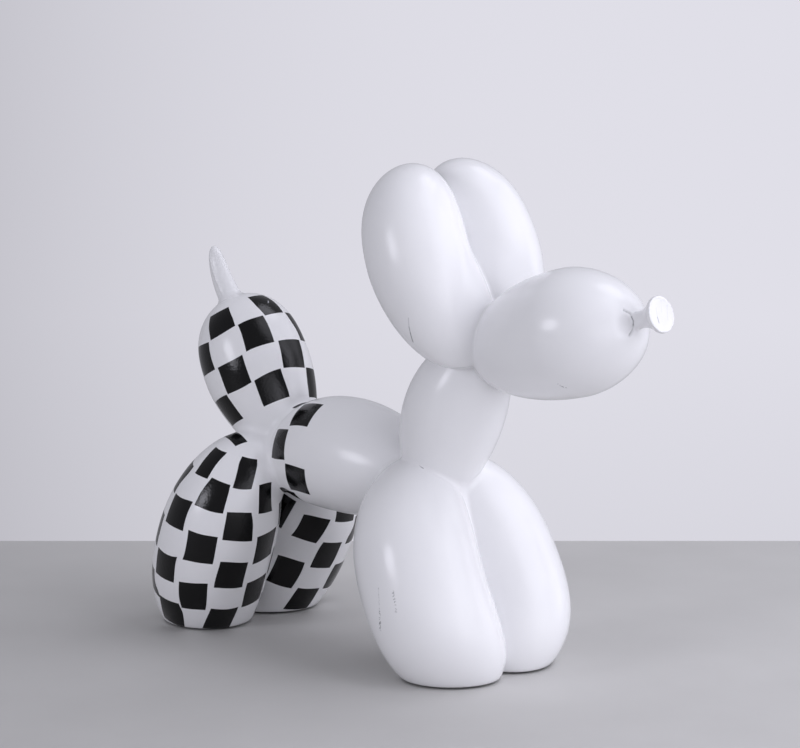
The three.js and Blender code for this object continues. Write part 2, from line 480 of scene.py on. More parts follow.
@dataclass
class Figure:
    """The whole dog: its twists, its lobes, its mouth and its teat, as one field of distance.

    The fillet in the creases grows towards the hip and the breast. fold is a line beside the
    mouth, where the rubber creases, and dimple the middle of the hollow round it. The fine_ sizes
    say where the skin needs the fine grid: how far either side of the skin, how near a second
    lobe, the mouth's corner in x, y and z, and how far round and below the teat's root.
    """

    head_twist: tuple[float, float, float] = (72.9, 0.0, 151.3)
    chest_twist: tuple[float, float, float] = (44.3, 0.0, 84.6)
    hip_twist: tuple[float, float, float] = (-52.8, 0.0, 87.4)
    snout_reach: float = 97.7
    snout_rise: float = 14.7
    tail_reach: float = 84.9
    tail_lean: float = 29.6
    ear_lean: float = 23.4
    ear_close: float = 4.3
    ear_length: float = 97.6
    ear_base_length: float = 54.0
    crease_fillet: float = 1.6
    hip_fillet: float = 7.5
    hip_fillet_spread: float = 24.0
    breast: tuple[float, float, float] = (61.0, 0.0, 87.0)
    breast_fillet: float = 4.5
    breast_fillet_spread: float = 7.0
    mouth_fillet: float = 1.0
    teat_fillet: float = 4.0
    sole_round: float = 2.4
    fold: tuple[tuple[float, float, float], ...] = (
        (163.6, -5.5, 182.2), (165.3, -3.0, 180.5), (168.1, -3.9, 177.7), (167.3, -3.3, 173.9),
        (167.0, -5.4, 171.4),
    )
    fold_depth: float = 0.5
    fold_width: float = 0.6
    dimple: tuple[float, float, float] = (166.2, -6.9, 176.4)
    dimple_depth: float = 0.8
    dimple_width: float = 3.0
    dimple_reach: float = 14.0
    extra_reach: float = 45.0
    lobe_margin: float = 12.0
    fine_skin: float = 4.0
    fine_crease: float = 3.2
    fine_mouth: tuple[float, float, float] = (158.0, 13.0, 166.0)
    fine_teat: float = 32.0
    fine_teat_below: float = 2.0
    lobes: list[Lobe] = field(default_factory=list)

    def __post_init__(self) -> None:
        """Sets out the lobes from the three twists."""
        twists = self.head_twist, self.chest_twist, self.hip_twist
        head, chest, hip = (np.array(place) for place in twists)
        neck_line, body_line = unit(head - chest), unit(chest - hip)
        self.snout_tip = head + self.snout_reach * leaning(90 - self.snout_rise)
        tail_line = leaning(-self.tail_lean)
        self.tail_tip = hip + self.tail_reach * tail_line
        ear_line = self.ear_line(self.ear_lean, self.ear_close)
        ear_root, base_root = head + (4.2, 22.4, -2.2), head + (8.8, 12.0, -2.0)
        ear_base = Lobe(
            "ear_base_left", base_root, base_root + self.ear_base_length * ear_line,
            14.2, 0.42, (2.2, 2.0),
        )
        ear = Lobe(
            "ear_left", ear_root, ear_root + self.ear_length * ear_line,
            24.3, 0.54, (1.7, 2.75), arch=0.3, spread=5.5, bulge=ear_base,
        )
        front_leg = Lobe(
            "front_leg_left", np.array([85.9, 18.6, -7.3]), chest + np.array([-9.7, 8.5, 14.1]),
            29.5, 0.49, (3.89, 2.71), arch=0.0, spread=12.6,
        )
        hind_leg = Lobe(
            "hind_leg_left", np.array([-104.2, 14.1, -14.9]), hip + np.array([-4.5, 21.6, 11.1]),
            29.2, 0.51, (2.62, 2.27), arch=-1.6, spread=10.6,
        )
        self.lobes = [
            Lobe(
                "neck", chest - 3.9 * neck_line, head + 9.5 * neck_line, 24.2, 0.51,
                (2.08, 1.94), arch=3.5,
            ),
            Lobe(
                "body", hip - 7.9 * body_line, chest + 4.1 * body_line, 28.2, 0.45,
                (2.5, 1.73), arch=5.8,
            ),
            Lobe("snout", head, self.snout_tip, 29.7, 0.613, (2.1, 1.76), arch=1.6),
            Lobe(
                "tail", hip - 2.6 * tail_line, self.tail_tip, 26.9, 0.56, (1.57, 2.78), arch=1.2,
            ),
            ear,
            ear.mirrored("ear_right"),
            front_leg,
            front_leg.mirrored("front_leg_right"),
            hind_leg,
            hind_leg.mirrored("hind_leg_right"),
        ]
        self.mouth = Mouth(self.snout_tip + np.array([0.0, 0.0, 1.3]))
        self.teat = Teat(self.tail_tip + np.array([-1.7, 0.0, 0.0]))

    @staticmethod
    def ear_line(lean: float, close: float) -> np.ndarray:
        """The direction of the left ear, which leans back and closes towards the other ear.

        Args:
            lean: how far it leans back, in degrees.
            close: how far it leans towards the other ear, in degrees.

        Returns:
            A vector with a length of one.
        """
        back, inward = math.radians(lean), math.radians(close)
        up = math.cos(inward)
        return np.array([-up * math.sin(back), -math.sin(inward), up * math.cos(back)])

    def lobe(self, name: str) -> Lobe:
        """The lobe of that name."""
        return next(found for found in self.lobes if found.name == name)

    def lobe_distance(self, found: Lobe, points: np.ndarray) -> np.ndarray:
        """A lobe's distances, worked out only near it and far elsewhere.

        Args:
            found: the lobe.
            points: rows of x, y and z.

        Returns:
            Millimetres, and FAR where the lobe is not near.
        """
        low, high = found.box(self.lobe_margin)
        near = ((points > low) & (points < high)).all(1)
        out = np.full(len(points), FAR)
        out[near] = found.distance(points[near])
        return out

    def fillet(self, points: np.ndarray) -> np.ndarray:
        """How far the fillet reaches at each point: wide at the hip and at the breast.

        Args:
            points: rows of x, y and z.

        Returns:
            The reach at each point.
        """
        reach = np.full(len(points), self.crease_fillet)
        for place, fillet, spread in (
            (self.hip_twist, self.hip_fillet, self.hip_fillet_spread),
            (self.breast, self.breast_fillet, self.breast_fillet_spread),
        ):
            off = ((points - np.array(place)) ** 2).sum(1)
            reach += (fillet - self.crease_fillet) * np.exp(-off / (2 * spread**2))
        return reach

    def closest_two(self, points: np.ndarray) -> tuple[np.ndarray, np.ndarray]:
        """The distances to the closest and to the second closest lobe.

        Args:
            points: rows of x, y and z.

        Returns:
            The two distances at each point.
        """
        first = np.full(len(points), FAR)
        second = first.copy()
        for found in self.lobes:
            here = self.lobe_distance(found, points)
            second = np.minimum(second, np.maximum(first, here))
            first = np.minimum(first, here)
        return first, second

    def from_fold(self, points: np.ndarray) -> np.ndarray:
        """How far each point is from the line of the fold beside the mouth.

        Args:
            points: rows of x, y and z.

        Returns:
            Millimetres, and FAR at most.
        """
        line = np.array(self.fold)
        closest = np.full(len(points), FAR)
        for start, end in zip(line[:-1], line[1:]):
            run = end - start
            share = np.clip((points - start) @ run / (run @ run), 0, 1)
            off = points - start - share[:, None] * run
            closest = np.minimum(closest, np.linalg.norm(off, axis=1))
        return closest

    def folds(self, points: np.ndarray) -> np.ndarray:
        """How deep the fold and the dimple beside the mouth press the snout's skin in.

        Args:
            points: rows of x, y and z.

        Returns:
            How far the skin lies deeper at each point.
        """
        out = np.zeros(len(points))
        near = np.linalg.norm(points - np.array(self.dimple), axis=1) < self.dimple_reach
        if not near.any():
            return out
        here = points[near]
        crease = self.fold_depth * np.exp(-((self.from_fold(here) / self.fold_width) ** 2))
        off = ((here - np.array(self.dimple)) ** 2).sum(1)
        out[near] = crease + self.dimple_depth * np.exp(-off / (2 * self.dimple_width**2))
        return out

    def distance(self, points: np.ndarray) -> np.ndarray:
        """The signed distance of each point from the dog's whole skin.

        Args:
            points: rows of x, y and z.

        Returns:
            Millimetres, below zero inside.
        """
        reach = self.fillet(points)
        whole = np.full(len(points), FAR)
        for found in self.lobes:
            whole = smooth_min(whole, self.lobe_distance(found, points), reach)
        whole = whole + self.folds(points)
        for extra, radius in ((self.mouth, self.mouth_fillet), (self.teat, self.teat_fillet)):
            near = np.linalg.norm(points - extra.root, axis=1) < self.extra_reach
            own = np.full(len(points), FAR)
            own[near] = extra.distance(points[near])
            whole = smooth_min(whole, own, radius)
        return smooth_max(whole, -points[:, 2], self.sole_round)

    def wants_detail(self, points: np.ndarray) -> np.ndarray:
        """Whether the skin near each point needs the fine grid: at creases, mouth and teat.

        Args:
            points: rows of x, y and z.

        Returns:
            True where it does.
        """
        first, second = self.closest_two(points)
        crease = (np.abs(first) < self.fine_skin) & (second < self.fine_crease)
        ahead, beside, above = self.fine_mouth
        x, y, z = points.T
        mouth = (x > ahead) & (np.abs(y) < beside) & (z > above)
        teat = np.linalg.norm(points - self.teat.root, axis=1) < self.fine_teat
        return crease | mouth | (teat & (z > self.teat.root[2] - self.fine_teat_below))


@dataclass
class SkinMesher:
    """Draws the skin of a field as quads, on a coarse grid with a fine one where it is wanted.

    Each cell that the skin passes through gets one point, and each grid edge that crosses the
    skin joins the points of the cells round it. band is how many cells from the skin may be fine.
    """

    coarse: float = 2.0
    ratio: int = 3
    smoothing_rounds: int = 3
    newton_rounds: int = 3
    last_rounds: int = 2
    smoothing: float = 0.5
    band: float = 2.2
    probe: float = 0.03
    least_slope: float = 0.05
    longest_step: float = 1.0

    AROUND = ((0, 0), (-1, 0), (-1, -1), (0, -1))

    def gradient(self, distance: Field, points: np.ndarray) -> np.ndarray:
        """The field's slope at each point, by central differences.

        Args:
            distance: the field.
            points: rows of x, y and z.

        Returns:
            Rows of the slope along x, y and z.
        """
        parts = []
        for axis in range(3):
            step = np.zeros(3)
            step[axis] = self.probe
            parts.append(distance(points + step) - distance(points - step))
        return np.stack(parts, 1) / (2 * self.probe)

    def settle(self, distance: Field, points: np.ndarray, rounds: int) -> np.ndarray:
        """Moves points onto the skin along the field's slope.

        Args:
            distance: the field.
            points: rows of x, y and z.
            rounds: how many times to move them.

        Returns:
            The moved points.
        """
        for _ in range(rounds):
            slope = self.gradient(distance, points)
            step = distance(points) / np.maximum((slope**2).sum(1), self.least_slope)
            step = np.clip(step, -self.longest_step, self.longest_step)
            points = points - step[:, None] * slope
        return points

    def fine_of(self, cells: np.ndarray, axis: int | None = None) -> np.ndarray:
        """The fine grid's nodes or edges that belong to some coarse cells.

        Args:
            cells: rows of coarse cell indices.
            axis: which way the edges run, or nothing for the nodes.

        Returns:
            Rows of the fine indices of each node or of each edge's lower end. One that
            neighbouring cells share comes once for each of them.
        """
        counts = [self.ratio + (way != axis) for way in range(3)]
        inner = np.stack(np.meshgrid(*map(np.arange, counts), indexing="ij"), -1).reshape(-1, 3)
        return (cells[:, None, :] * self.ratio + inner[None]).reshape(-1, 3)

    def cells_round(self, edges: np.ndarray, axis: int) -> list[np.ndarray]:
        """The four cells round each edge, in turn.

        Args:
            edges: rows of the indices of the edges' lower ends.
            axis: which way the edges run.

        Returns:
            Four arrays of rows of cell indices.
        """
        cells = []
        for shifts in self.AROUND:
            cell = edges.copy()
            for turn, shift in enumerate(shifts):
                cell[:, (axis + 1 + turn) % 3] += shift
            cells.append(cell)
        return cells

    def mesh(
        self, distance: Field, wanted: Callable[[np.ndarray], np.ndarray],
        low: np.ndarray, high: np.ndarray,
    ) -> tuple[np.ndarray, np.ndarray, np.ndarray]:
        """Makes the skin of a field within a box.

        Args:
            distance: the field, below zero inside.
            wanted: says whether a place needs the fine grid.
            low: the box's lowest corner.
            high: the box's highest corner.

        Returns:
            Points, their outward normals, and rows of four point numbers where a triangle
            has its last number twice.
        """
        size, fine = self.coarse, self.coarse / self.ratio
        shape = np.ceil((high - low) / size).astype(int) + 1
        grid = np.stack(np.meshgrid(*[np.arange(n) for n in shape], indexing="ij"), -1)
        nodes = low + grid.reshape(-1, 3) * size
        value = distance(nodes).reshape(shape)
        LOG.info("coarse grid %s", tuple(shape))

        inside = value < 0
        corners = [
            inside[i : shape[0] - 1 + i, j : shape[1] - 1 + j, k : shape[2] - 1 + k]
            for i in (0, 1) for j in (0, 1) for k in (0, 1)
        ]
        mixed = np.logical_or.reduce(corners) & ~np.logical_and.reduce(corners)
        close = np.abs(value[:-1, :-1, :-1]) < self.band * size
        candidates = np.argwhere(mixed | close)
        middles = low + (candidates + 0.5) * size
        refined_cells = candidates[wanted(middles)]
        refined = np.zeros(shape - 1, bool)
        refined[tuple(refined_cells.T)] = True

        fine_shape = (shape - 1) * self.ratio + 1
        total = int(np.prod(fine_shape))

        def fine_key(index: np.ndarray) -> np.ndarray:
            """One number for each fine grid index."""
            return (index[:, 0] * fine_shape[1] + index[:, 1]) * fine_shape[2] + index[:, 2]

        def cell_keys(index: np.ndarray) -> np.ndarray:
            """One number for each fine cell index: its own if refined, or its coarse cell's.

            Args:
                index: rows of fine cell indices.

            Returns:
                The numbers.
            """
            coarse_index = index // self.ratio
            is_fine = refined[tuple(coarse_index.T)]
            column = coarse_index[:, 0] * shape[1] + coarse_index[:, 1]
            coarse_number = column * shape[2] + coarse_index[:, 2] + total
            return np.where(is_fine, fine_key(index), coarse_number)

        quads, crossings = [], []

        def keep(
            loop: np.ndarray, lower: np.ndarray, start: np.ndarray, end: np.ndarray,
            step: np.ndarray, edge: float,
        ) -> None:
            """Keeps the quads round crossed edges, turned outwards, and where the skin crosses.

            Args:
                loop: rows of the keys of the four cells round each edge.
                lower: the grid indices of the edges' lower ends.
                start: the field's values there.
                end: its values at the upper ends.
                step: the edges' direction in grid indices.
                edge: how long an edge is.
            """
            loop[start > 0] = loop[start > 0][:, ::-1]
            quads.append(loop)
            share = (start / (start - end))[:, None]
            crossings.append(low + (lower + share * step) * edge)

        fine_nodes = self.fine_of(refined_cells)
        keys, first = np.unique(fine_key(fine_nodes), return_index=True)
        fine_nodes = fine_nodes[first]
        fine_value = distance(low + fine_nodes * fine)
        LOG.info("fine grid %d nodes", len(fine_nodes))

        for axis in range(3):
            other = [(axis + 1) % 3, (axis + 2) % 3]
            step = np.eye(3, dtype=int)[axis]
            lower = self.fine_of(refined_cells, axis)
            start = fine_value[np.searchsorted(keys, fine_key(lower))]
            end = fine_value[np.searchsorted(keys, fine_key(lower + step))]
            cross = (start < 0) != (end < 0)
            lower, start, end = lower[cross], start[cross], end[cross]
            _, once = np.unique(fine_key(lower), return_index=True)
            lower, start, end = lower[once], start[once], end[once]
            loop = np.stack([cell_keys(cell) for cell in self.cells_round(lower, axis)], 1)
            keep(loop, lower, start, end, step, fine)

            ahead, behind = [slice(1, None)] * 3, [slice(None, -1)] * 3
            for other_axis in other:
                ahead[other_axis] = behind[other_axis] = slice(1, -1)
            cross = inside[tuple(behind)] != inside[tuple(ahead)]
            lower = np.argwhere(cross)
            for other_axis in other:
                lower[:, other_axis] += 1
            cells = self.cells_round(lower, axis)
            plain = ~np.logical_or.reduce([refined[tuple(cell.T)] for cell in cells])
            lower = lower[plain]
            loop = np.stack([cell_keys(cell[plain] * self.ratio) for cell in cells], 1)
            start, end = value[tuple(lower.T)], value[tuple((lower + step).T)]
            keep(loop, lower, start, end, step, size)

        loop, crossing = np.concatenate(quads), np.concatenate(crossings)
        names, number = np.unique(loop, return_inverse=True)
        loop = number.reshape(loop.shape)
        counts = np.bincount(loop.ravel(), minlength=len(names))
        sums = [np.bincount(loop.ravel(), np.repeat(part, 4), len(names)) for part in crossing.T]
        points = np.stack(sums, 1) / counts[:, None]
        loop = self.without_doubles(loop)
        points = self.relax(distance, points, loop)
        return points, self.normals(distance, points), loop

    def normals(self, distance: Field, points: np.ndarray) -> np.ndarray:
        """The outward direction of the field's slope at each point."""
        slope = self.gradient(distance, points)
        return slope / np.linalg.norm(slope, axis=1, keepdims=True)

    @staticmethod
    def without_doubles(loop: np.ndarray) -> np.ndarray:
        """Turns quads with a repeated point to triangles, whose last number comes twice.

        Args:
            loop: rows of four point numbers.

        Returns:
            The rows with at least three different points.
        """
        tidy = loop.copy()
        for _ in range(3):
            same = tidy == np.roll(tidy, -1, axis=1)
            turn = same.any(1) & ~same[:, 2]
            tidy[turn] = np.roll(tidy[turn], -1, axis=1)
        distinct = np.array([len(set(row)) for row in tidy.tolist()])
        return tidy[distinct >= 3]

    def relax(self, distance: Field, points: np.ndarray, loop: np.ndarray) -> np.ndarray:
        """Evens out the spacing of the points along the skin, and settles them on it.

        Args:
            distance: the field.
            points: rows of x, y and z.
            loop: rows of four point numbers.

        Returns:
            The moved points.
        """
        starts = loop.ravel()
        ends = np.roll(loop, -1, axis=1).ravel()
        real = starts != ends
        starts, ends = starts[real], ends[real]
        count = np.maximum(np.bincount(starts, minlength=len(points)), 1)[:, None]
        points = self.settle(distance, points, self.newton_rounds)
        for _ in range(self.smoothing_rounds):
            sums = [np.bincount(starts, part, len(points)) for part in points[ends].T]
            normal = self.normals(distance, points)
            move = np.stack(sums, 1) / count - points
            move -= (move * normal).sum(1, keepdims=True) * normal
            points = self.settle(distance, points + self.smoothing * move, 1)
        return self.settle(distance, points, self.last_rounds)


@dataclass(frozen=True)
class Wander:
    """How far one black check lies off its place, in shares of a column and of a row.

    It was laid by hand. lean is how far it goes across for each row, and slope how far it goes
    along for each column. wide and tall are its size in millimetres.
    """

    column: int
    row: int
    across: float = 0.0
    along: float = 0.0
    lean: float = 0.0
    slope: float = 0.0
    wide: float = CHECK_WIDE
    tall: float = CHECK_TALL


@dataclass(frozen=True)
class CheckedLobe:
    """How the black checks lie on one lobe.

    rows are the distances along the skin, from the root tip, of the middles of the rows of
    checks. tilt is how far a ring of checks leans, and tilt_at the azimuth where it leans most.
    twist turns each row round the lobe. A check that wanders holds the places round its middle,
    and the twist, with the weight LAW, has the rest.
    """

    lobe: str
    rows: tuple[float, ...]
    first_column: float
    parity: int
    wanders: tuple[Wander, ...] = ()
    twist: tuple[float, ...] = ()
    tilt: float = 0.0
    tilt_at: float = 0.0
    side: Side = Side.MIDDLE

    COLUMNS = 10
    COLUMN = 360 / COLUMNS
    LAW = 0.02
    HOLD = 0.45
    FAR_CELL = 0.8
    PAST_ROWS = 3

    def attribute_name(self) -> str:
        """The name of the mesh attribute that holds each point's place on this lobe."""
        return self.lobe + "_place"

    def form_name(self) -> str:
        """The name of the attribute that holds a point's edge and its check's width and height."""
        return self.lobe + "_form"

    def pitch(self) -> float:
        """The mean distance between two rows of checks."""
        return float(np.diff(self.rows).mean())

    def wandered(
        self, column: np.ndarray, row: np.ndarray
    ) -> tuple[np.ndarray, np.ndarray, np.ndarray]:
        """How far the checks wander round each place.

        Args:
            column: the places' columns.
            row: the places' rows.

        Returns:
            The wander across, the wander along, and rows of each check's width and height.
        """
        twist = np.zeros(len(row))
        if self.twist:
            twist = np.interp(row, np.arange(len(self.twist)), self.twist)
        weight = np.full(len(row), self.LAW)
        across, along = weight * twist, np.zeros(len(row))
        size = weight[:, None] * np.array([CHECK_WIDE, CHECK_TALL])
        half_round = self.COLUMNS / 2
        for check in self.wanders:
            off = column - check.column - 0.5 - check.across
            off = (off + half_round) % self.COLUMNS - half_round
            up = row - check.row - check.along
            near = np.exp(-(off**2 + up**2) / (2 * self.HOLD**2))
            off, up = (np.clip(part, -self.FAR_CELL, self.FAR_CELL) for part in (off, up))
            weight = weight + near
            across = across + near * (check.across + check.lean * up)
            along = along + near * (check.along + check.slope * off)
            size = size + near[:, None] * np.array([check.wide, check.tall])
        return across / weight, along / weight, size / weight[:, None]

    def places(self, figure: Figure, points: np.ndarray) -> tuple[np.ndarray, np.ndarray]:
        """Each point's place among the checks.

        Args:
            figure: the dog.
            points: the skin's points in the drawing.

        Returns:
            Rows of the two distances from the centre line and the row of checks, and rows of how
            much further each point is from this lobe than from the closest other lobe and of its
            check's width and height.
        """
        found = figure.lobe(self.lobe)
        belly, left, height = found.place(points)
        if self.side is Side.LEFT:
            left = -left
        heights, skin = found.profile()
        skin_along = np.interp(height, heights, skin)
        azimuth = np.arctan2(left, belly)
        skin_along = skin_along - self.tilt * np.cos(azimuth - math.radians(self.tilt_at))
        past = self.PAST_ROWS
        reach = past * self.pitch()
        middles = [self.rows[0] - reach, *self.rows, self.rows[-1] + reach]
        numbers = [-past, *range(len(self.rows)), len(self.rows) - 1 + past]
        row = np.interp(skin_along, middles, numbers)
        column = (np.degrees(azimuth) - self.first_column) / self.COLUMN
        across, along, size = self.wandered(column, row)
        turn = np.radians(across * self.COLUMN)
        turned_belly = belly * np.cos(turn) + left * np.sin(turn)
        turned_left = left * np.cos(turn) - belly * np.sin(turn)
        own = found.distance(points)
        others = np.full(len(points), FAR)
        for other in figure.lobes:
            if other is not found:
                others = np.minimum(others, figure.lobe_distance(other, points))
        place = np.stack([turned_belly, turned_left, row - along], 1)
        return place, np.column_stack([own - others, size])


@dataclass(frozen=True)
class LaidCheck:
    """A black check laid where the rings of checks close up towards a twist.

    middle is its middle in the drawing. along and across run from there to the middles of an end
    and of a side. Its edge fades over the share EDGE each way, and it reaches DEPTH into the skin.
    """

    middle: tuple[float, float, float]
    along: tuple[float, float, float]
    across: tuple[float, float, float]

    DEPTH = 4.0
    EDGE = 0.015

    def measures(self) -> dict[str, tuple[float, ...]]:
        """What its node group takes: its middle, and a vector for each way across it.

        The product of such a vector and an offset from the middle is 1 at that way's edge.

        Returns:
            Vectors by the name of the group's input.
        """
        along, across = np.array(self.along), np.array(self.across)
        normal = unit(np.cross(along, across)) * self.DEPTH
        vectors = np.linalg.inv(np.array([along, across, normal]).T) / MM
        names = ("Middle", "Along", "Across", "Through")
        return {name: tuple(row) for name, row in zip(names, (placed(self.middle), *vectors))}


@dataclass(frozen=True)
class WhiteLacquer:
    """White two-part lacquer, sprayed over a rubbed-down casting.

    It gives a bright, even white with soft highlights, a slight sprayed unevenness and a few fine
    rubbed marks. Round each sole a dark band is painted into the colour as painted shade, for the
    contact shadow where the sole meets the floor; it ends between the two heights of
    sole_shade_mm.
    The crease of the fold beside the mouth is darkened with painted shade. Its roughness goes with
    faint clouds of cloud_mm, from the lower to the higher of the noise values in clouds.
    """

    colour: str = "EEEEEF"
    shade: str = "E6E6E8"
    roughness: float = 0.22
    roughness_spread: float = 0.03
    cloud_mm: float = 38.0
    clouds: tuple[float, float] = (0.3, 0.7)
    peel_mm: float = 2.2
    peel_height: float = 0.004
    # Painted shade: the dark colour drawn along the crease of the fold beside the mouth.
    fold_painted_shade: str = "4C4C52"
    fold_shade_cover: float = 0.85
    fold_mm: float = 0.6
    # Painted shade: a dark band round each sole stands for the contact shadow where it meets the
    # floor.
    sole_painted_shade: str = "1C1C1E"
    sole_shade_mm: tuple[float, float] = (0.84, 1.32)
    ior: float = 1.5
    specular: float = 0.32


@dataclass(frozen=True)
class BlackLacquer:
    """Black lacquer squares, laid on over the white.

    They give a deep, slightly blue black that is glossier than the white round it, with a fine
    grain in its highlights. Each lies off its place by half of jitter_mm and by turn radians at
    most, thrown from seed.
    """

    colour: str = "020203"
    shade: str = "050506"
    grain_mm: float = 1.1
    grain_height: float = 0.1
    roughness: float = 0.17
    edge_mm: float = 0.12
    jitter_mm: float = 0.3
    turn: float = 0.02
    seed: float = 3.1


@dataclass(frozen=True)
class Mark:
    """A scuff, a chip or another line drawn on the lacquer, from start to end in the drawing.

    width is half its width, strength how much it covers, and broken how far it falls into specks
    of SPECK_MM, which fade in where the noise is between the two values of SPECKS.
    """

    start: tuple[float, float, float]
    end: tuple[float, float, float]
    width: float
    colour: str
    strength: float
    broken: float = 0.0

    SPECK_MM = 0.9
    SPECKS = (0.5, 0.6)

    def measures(self) -> dict[str, float | tuple[float, ...]]:
        """What the scuff's node group takes, in metres.

        Returns:
            Numbers and vectors by the name of the group's input.
        """
        start, end = placed(self.start), placed(self.end)
        return {
            "Start": tuple(start), "Run": tuple(end - start), "Width": self.width * MM,
            "Strength": self.strength, "Broken": self.broken,
        }


@dataclass
class CheckedSkin:
    """The skin's finish: white lacquer with black checks on the rear half."""

    HIND_ROWS = (44.5, 59.6, 73.0, 86.7, 100.2, 113.2, 126.4)
    HIND_TWIST = (0.06, 0.13, 0.10, 0.09, -0.05, -0.20, -0.22)

    white: WhiteLacquer = WhiteLacquer()
    black: BlackLacquer = BlackLacquer()
    marks: tuple[Mark, ...] = (
        Mark((67.6, -42.4, 168.5), (67.2, -41.1, 165.5), 0.45, "7E7E83", 0.7),
        Mark((67.2, -41.1, 165.5), (66.5, -38.6, 161.0), 0.5, "636367", 0.8),
        Mark((68.5, -43.7, 172.9), (67.6, -42.4, 168.5), 0.4, "A2A2A8", 0.5),
        Mark((138.5, -20.0, 147.6), (140.5, -17.1, 145.9), 0.9, "7A7A7F", 0.8, 1.0),
        Mark((60.9, -55.7, 47.5), (61.5, -56.0, 42.0), 0.45, "98989D", 0.6, 0.8),
        Mark((61.5, -56.0, 42.0), (61.8, -55.9, 36.3), 0.5, "86868B", 0.6, 0.9),
        Mark((61.8, -55.9, 36.3), (61.7, -55.6, 32.0), 0.9, "707075", 0.8, 1.0),
        Mark((61.7, -55.6, 32.0), (60.9, -54.7, 27.4), 1.1, "5E5E62", 0.85, 1.0),
        Mark((69.2, -54.7, 46.8), (70.5, -55.0, 42.4), 1.0, "7C7C80", 0.7, 1.0),
        Mark((70.5, -55.0, 42.4), (71.6, -55.2, 37.9), 1.0, "7C7C80", 0.7, 1.0),
        # A short dark grey line drawn at the foot of the neck, along the lower edge of a small run
        # in the lacquer.
        Mark((53.3, -20.5, 98.9), (55.4, -19.8, 97.7), 0.4, "77777C", 0.7),
        Mark((-71.6, 2.5, 161.6), (-70.6, 1.7, 161.1), 0.5, "D5D5DB", 0.95, 0.2),
        Mark((-70.6, 1.7, 161.1), (-70.2, 0.9, 160.9), 0.5, "B9B9BF", 0.8, 0.4),
        Mark((180.6, -2.7, 180.6), (181.5, -2.6, 178.1), 0.4, "8C8C94", 0.8),
        Mark((179.5, -2.3, 184.5), (180.6, -2.7, 180.6), 0.3, "B4B4BC", 0.6, 0.5),
        Mark((178.9, 1.8, 187.5), (180.1, 1.1, 182.4), 0.3, "C2C2CA", 0.6, 0.4),
        Mark((179.6, 5.2, 185.0), (181.4, 3.8, 178.7), 0.3, "C2C2CA", 0.6, 0.4),
    )
    laid: tuple[LaidCheck, ...] = (
        LaidCheck((-64.7, -27.35, 96.6), (-7.3, 2.65, 1.0), (-1.35, -2.65, -1.18)),
        LaidCheck((-63.9, 1.3, 57.3), (-4.1, -1.4, -7.3), (4.4, 2.7, -3.0)),
    )
    checks: tuple[CheckedLobe, ...] = (
        CheckedLobe(
            "tail", (42.5, 56.9, 71.7, 87.2), 18.0, 0,
            (
                Wander(-3, 3, 0.04, -0.15, -0.10, 0.02, 14.3, 14.0),
                Wander(-1, 3, -0.02, 0.02, 0.01, -0.03, 13.8, 15.2),
                Wander(-2, 2, 0.11, 0.01, 0.07, -0.08, 14.7, 14.8),
                Wander(-4, 2, -0.01, -0.02, 0.0, -0.10), Wander(-1, 1, 0.03, 0.0, 0.13, -0.09),
                Wander(-3, 1, 0.02, -0.09, 0.06, -0.07),
                Wander(-2, 0, -0.02, 0.08, 0.02, 0.02, 14.4),
                Wander(0, 0, -0.14, -0.07), Wander(-4, 0, -0.01, 0.05, -0.08, -0.05, 15.4),
            ),
        ),
        CheckedLobe(
            "body", (35.9, 50.1), -16.0, 1,
            (
                Wander(-4, 1, 0.0, -0.23, 0.06, 0.05, tall=16.0),
                Wander(-3, 0, 0.04, 0.04, 0.09, -0.02, tall=12.4),
                Wander(-2, 1, 0.04, 0.03, 0.07, -0.13, 15.2, 15.2), Wander(-1, 0, 0.14),
            ),
        ),
        CheckedLobe(
            "hind_leg_right", HIND_ROWS, -10.0, 1,
            (
                Wander(-3, 6, -0.14, 0.08, -0.27, 0.07, 8.9),
                Wander(-1, 6, -0.30, -0.06, -0.14, -0.19, 8.7),
                Wander(-2, 5, -0.14, 0.07, -0.08, -0.16, 14.6, 14.8),
                Wander(0, 5, -0.31, -0.04, -0.12, -0.17, 7.6),
                Wander(-3, 4, -0.09, -0.01, -0.12, 0.14),
                Wander(-1, 4, -0.02, 0.04, -0.05, -0.18, tall=14.6),
                Wander(-2, 3, 0.09, 0.05, -0.09, -0.02), Wander(0, 3, 0.09, 0.0),
                Wander(-3, 2, 0.11, -0.22, -0.12, 0.10, 15.9, 14.4),
                Wander(-1, 2, 0.10, 0.07, 0.01, -0.24, tall=15.7),
                Wander(-2, 1, 0.17, 0.04, -0.05, 0.02, tall=15.9),
                Wander(0, 1, 0.10, 0.05, -0.01, -0.09, 16.4, 15.7),
                Wander(-3, 0, 0.57, -0.1, wide=18.0),
                Wander(-1, 0, 0.06, 0.04, 0.14, -0.11, tall=13.5),
            ),
            HIND_TWIST, 4.2, 25.0, Side.RIGHT,
        ),
        CheckedLobe(
            "hind_leg_left", HIND_ROWS, -10.0, 0,
            (
                Wander(1, 3, -0.27, -0.03, -0.16, 0.12, 14.5, 14.1), Wander(0, 4, -0.38, -0.12),
                Wander(0, 2, 0.04, -0.05, -0.04, 0.03, 14.1, 15.5),
                Wander(1, 1, 0.02, 0.01, -0.04, 0.15, 14.7, 16.2), Wander(-1, 1, 0.23, -0.04),
                Wander(0, 0, 0.16, 0.01, 0.01, -0.08, 14.3, 13.3),
                Wander(2, 4, wide=0.0, tall=0.0), Wander(2, 2, 0.15, wide=10.0, tall=13.0),
            ),
            HIND_TWIST, 4.2, 25.0, Side.LEFT,
        ),
    )

    def check_group(self) -> bpy.types.NodeTree:
        """Returns:
            A group from a place on the lobe to 1 on a black check and 0 on white.
        """
        group, given = new_group(
            "lobe_checks", ("Place", "Form"), ("First Column", "Parity", "Rows", "Pitch"), "Black",
        )
        place = add_node(group, "ShaderNodeSeparateXYZ", links={0: given["Place"]}).outputs
        form = add_node(group, "ShaderNodeSeparateXYZ", links={0: given["Form"]}).outputs
